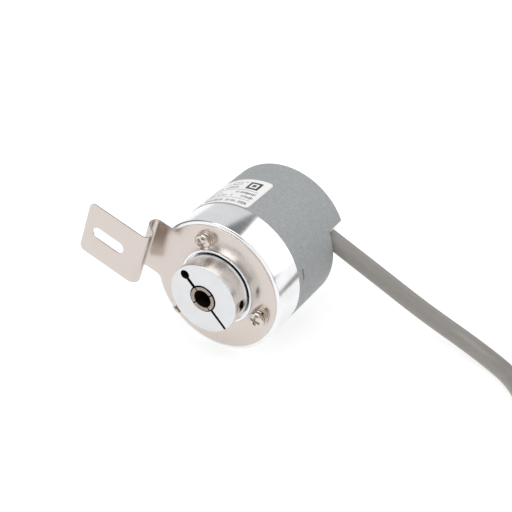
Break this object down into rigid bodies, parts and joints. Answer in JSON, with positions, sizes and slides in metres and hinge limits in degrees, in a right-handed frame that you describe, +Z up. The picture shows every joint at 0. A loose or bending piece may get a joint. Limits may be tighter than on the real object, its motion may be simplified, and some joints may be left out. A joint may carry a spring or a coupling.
{
  "type": "rotary encoder",
  "caption": "Hollow-shaft rotary encoder with a split clamp collar, a folded slotted torque bracket and a side cable.",
  "frame": {"origin": "on the shaft axis, at the front face of the mounting plate", "axes": "-Y along the shaft axis out of the clamp collar, +Z up with the encoder lying on its round side, the bracket arm towards -X and the cable towards +X"},
  "size_m": [0.18, 0.0686, 0.0383],
  "materials": {
    "aluminium": "turned, bright",
    "cap_grey": "fine cast texture, matt grey",
    "label_white": "printed film",
    "plate_steel": "bright rolled sheet",
    "nickel": "nickel plated",
    "shaft_steel": "ground",
    "bearing_steel": "ground",
    "brass": "turned",
    "rubber": "black nitrile",
    "disc_glass": "clear with a printed track",
    "black_plastic": "moulded",
    "led_lens": "tinted clear",
    "board_green": "solder mask",
    "white_plastic": "moulded",
    "core_colour": "coloured core insulation",
    "cable_grey": "smooth sheath"
  },
  "bodies": {
    "housing": {"flange_housing": "aluminium", "rear_cap": "cap_grey", "type_label": "label_white", "mounting_plate": "plate_steel", "plate_screws": "nickel", "spring_washers": "nickel", "flat_washers": "nickel", "front_outer_race": "bearing_steel", "rear_outer_race": "bearing_steel", "dust_seal": "rubber", "bearing_shields": "bearing_steel", "outer_spacer": "aluminium", "wave_spring": "bearing_steel", "bearing_circlip": "bearing_steel", "cap_o_ring": "rubber", "led_holder": "black_plastic", "led": "led_lens", "main_board": "board_green", "board_standoffs": "brass", "board_screws": "nickel", "sensor_chip": "black_plastic", "board_chips": "black_plastic", "wire_connector": "white_plastic", "cable_ferrule": "nickel", "lead_wires": "core_colour", "cable": "cable_grey", "cable_coil": "cable_grey", "wire_ends": "core_colour"},
    "shaft": {"hollow_shaft": "shaft_steel", "clamp_collar": "aluminium", "clamp_screw": "nickel", "front_inner_race": "bearing_steel", "rear_inner_race": "bearing_steel", "inner_spacer": "bearing_steel", "disc_hub": "aluminium", "hub_screw": "nickel", "code_disc": "disc_glass", "disc_ring": "aluminium"},
    "front_cage_set": {"front_balls": "bearing_steel", "front_cage": "brass"},
    "rear_cage_set": {"rear_balls": "bearing_steel", "rear_cage": "brass"}
  },
  "joints": [
    {"name": "shaft_spin", "type": "hinge", "parent": "housing", "child": "shaft", "pos_m": [0, 0, 0], "axis": [0, -1, 0], "continuous": true},
    {"name": "front_cage_spin", "type": "hinge", "parent": "housing", "child": "front_cage_set", "pos_m": [0, 0.0042, 0], "axis": [0, -1, 0], "continuous": true},
    {"name": "rear_cage_spin", "type": "hinge", "parent": "housing", "child": "rear_cage_set", "pos_m": [0, 0.0144, 0], "axis": [0, -1, 0], "continuous": true}
  ],
  "couplings": [
    {"joint": "front_cage_spin", "follows": "shaft_spin", "ratio": 0.4167},
    {"joint": "rear_cage_spin", "follows": "shaft_spin", "ratio": 0.4167}
  ]
}
